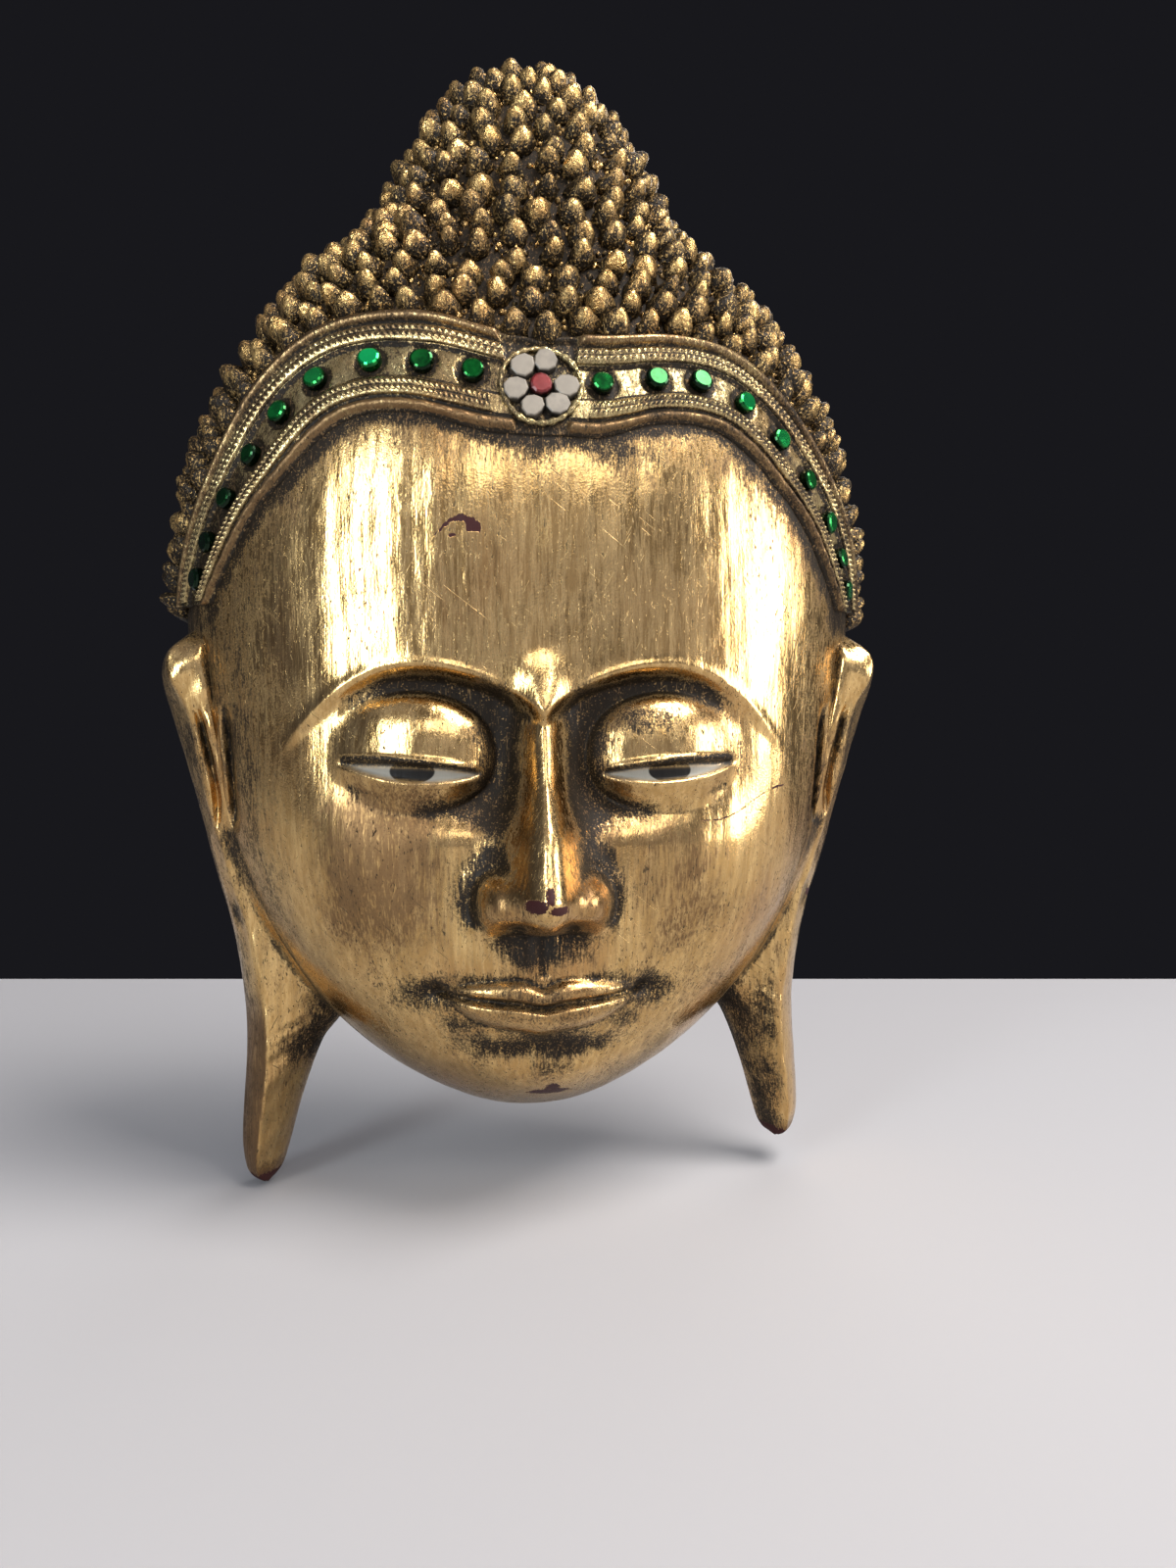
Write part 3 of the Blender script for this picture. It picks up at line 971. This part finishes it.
# Flower. Six petals of cloudy mirror glass set round a red one over the middle of the forehead,
# inside a thin raised ring of gilt paste.
FLOWER_Z = -63.0
PETAL_ANGLES = [133.0, 78.0, -2.0, -53.0, -110.0, -168.0]
PETAL_DEEPS = [0.1, 0.2, 0.1, 0.25, 0.1, 0.15]
PETAL_RING = 10.2
PETAL_RADIUS = 4.9
PETAL_TOP = 4.0
PETAL_SIDES = 9
PETAL_BEVEL = 0.7
HEART_RADIUS = 4.7
HEART_TOP = 4.2
HEART_SIDES = 12
HEART_BEVEL = 1.4
INLAY_LOW = 0.4
RING_RADIUS = 15.8
RING_THICK = 1.15
RING_STEPS = 160
RING_SIDES = 12

flower_out = head_normal(np.zeros(1), np.full(1, FLOWER_Z))
flower_up = unit(np.array([0, 0, 1.0]) - flower_out * flower_out[:, 2:])
flower_right = np.cross(flower_up, flower_out)
flower_mid = head_point(np.zeros(1), np.full(1, FLOWER_Z))
number = np.arange(len(PETAL_ANGLES))
a = np.radians(PETAL_ANGLES)[:, None]
petal_at = flower_mid + PETAL_RING * (np.cos(a) * flower_right + np.sin(a) * flower_up)
tilt = shake(number, 5)[:, None] * flower_right + shake(number, 6)[:, None] * flower_up
tilt = unit(flower_out + 0.10 * tilt)
white = glass_finish("cloudy_mirror", (0.21, 0.18, 0.14, 1), (0.115, 0.098, 0.076, 1), (0.23, 0.20, 0.16, 1),
                     rough=0.45, metal=0.0)
petals = slugs("white_petals", white, petal_at, tilt, flower_up + 0 * tilt, PETAL_RADIUS, INLAY_LOW,
               PETAL_TOP, PETAL_SIDES, PETAL_BEVEL, number + 3.0, 0.045, PETAL_DEEPS)
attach(petals, "root")
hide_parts(*["petal_%d" % (k + 1) for k in number])
red = glass_finish("red_glass", (0.17, 0.014, 0.014, 1), (0.10, 0.010, 0.010, 1), (0.24, 0.02, 0.02, 1),
                   rough=0.30, metal=0.3)
heart = slugs("red_heart", red, flower_mid, flower_out, flower_up, HEART_RADIUS, INLAY_LOW, HEART_TOP,
              HEART_SIDES, HEART_BEVEL, np.array([4.0]), 0.02, [0.3])
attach(heart, "root")
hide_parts("flower_centre")

a = np.linspace(0, 2 * np.pi, RING_STEPS, endpoint=False)[:, None]
b = np.linspace(0, 2 * np.pi, RING_SIDES, endpoint=False)[None, :]
thick = RING_THICK * (1 + 0.22 * np.sin(23 * a) + 0.12 * np.sin(9 * a + 1))
away = (RING_RADIUS + 0.35 * np.sin(3 * a + 0.6) + thick * np.cos(b))[..., None]
lift = (FLOWER_SEAT + 0.9 + thick * np.sin(b))[..., None]
points = flower_mid + away * (np.cos(a)[..., None] * flower_right + np.sin(a)[..., None] * flower_up)
points = (points + lift * flower_out).reshape(-1, 3)
corner = np.arange(RING_STEPS * RING_SIDES).reshape(RING_STEPS, RING_SIDES)
along_ring, round_ring = np.roll(corner, -1, 0), np.roll(corner, -1, 1)
faces = np.stack([corner, along_ring, np.roll(along_ring, -1, 1), round_ring], -1).reshape(-1, 4)
ring = lay_mesh("flower_ring_beaded", points, [faces], band_leaf, {"soot": np.full(len(points), 0.3)})
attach(ring, "root")
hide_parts("flower_ring")

# Stage. A pale table below the lobes whose far edge shows behind the chin, in a dim room that is darker
# on the left. Soft boxes stand for a strong window on the right, a weak one on the left and one above
# on the right, with faint ones in front and behind.
FLOOR_Z = -406.2
FLOOR_BACK = 440.0
FLOOR_REACH = 2500.0
PAPER = (0.385, 0.382, 0.398, 1)
ROOM_LEFT = (0.115, 0.13, 0.19, 1)
ROOM_RIGHT = (0.52, 0.52, 0.60, 1)
ROOM_DIM = (0.13, 0.13, 0.16, 1)
ROOM_BEHIND = (0.05, 0.05, 0.06, 1)
BACKDROP = (0.0092, 0.0092, 0.0115, 1)

edge_run = FLOOR_REACH * np.tan(CAMERA_TURN)
floor_points = np.array([[-FLOOR_REACH, -FLOOR_REACH, FLOOR_Z], [FLOOR_REACH, -FLOOR_REACH, FLOOR_Z],
                         [FLOOR_REACH, FLOOR_BACK + edge_run, FLOOR_Z],
                         [-FLOOR_REACH, FLOOR_BACK - edge_run, FLOOR_Z]])
paper, tree, shader = new_material("pale_paper")
fill(tree, shader, {"Base Color": PAPER, "Roughness": 0.8})
floor = lay_mesh("table", floor_points, [np.array([[0, 1, 2, 3]])], paper, {})

world = bpy.data.worlds.new("room")
world.use_nodes = True
tree = world.node_tree
way = put(tree, "ShaderNodeTexCoord").outputs["Generated"]
rightward, backward = (Grade(tree, put(tree, "ShaderNodeSeparateXYZ", {0: way}).outputs[k]) for k in (0, 1))
uneven = put(tree, "ShaderNodeTexNoise", {"Vector": way, "Scale": 3.2, "Detail": 2.0}).outputs["Fac"]
seen = Grade(tree, put(tree, "ShaderNodeLightPath").outputs["Is Camera Ray"])
room = rightward.span(-0.95, -0.30).tint(ROOM_LEFT, ROOM_RIGHT)
room = Grade(tree, uneven).span(0.38, 0.62).tint(ROOM_DIM, room)
room = backward.span(-0.35, 0.35).tint(room, ROOM_BEHIND)
fill(tree, tree.nodes["Background"], {"Color": seen.tint(room, BACKDROP)})
bpy.context.scene.world = world
bpy.context.scene.view_settings.view_transform = "Standard"


def lamp(name, place, size, watts, colour=(1, 1, 1), aim=(0, 0, -0.18)):
    """A soft box of this size that faces the mask and stays out of sight itself."""
    data = bpy.data.lights.new(name, "AREA")
    data.shape = "RECTANGLE"
    data.size, data.size_y = size
    data.energy = watts
    data.color = colour
    box = bpy.data.objects.new(name, data)
    box.location = place
    box.rotation_euler = (Vector(aim) - Vector(place)).to_track_quat("-Z", "Y").to_euler()
    box.visible_camera = False
    bpy.context.scene.collection.objects.link(box)


lamp("window_right", (3.24, -1.15, 0.10), (1.60, 2.5), 105, (1.0, 0.98, 0.95))
lamp("window_left", (-1.08, -1.40, 0.20), (0.40, 1.2), 17.5, (0.88, 0.96, 1.0))
lamp("window_high", (0.95, -0.90, 1.72), (1.20, 1.2), 80, (1.0, 0.95, 0.90))
lamp("box_front", (0.25, -1.9, 1.0), (1.4, 0.5), 8, (1.0, 0.98, 0.95))
lamp("box_rear", (0.5, 1.2, 0.7), (0.9, 0.9), 6)
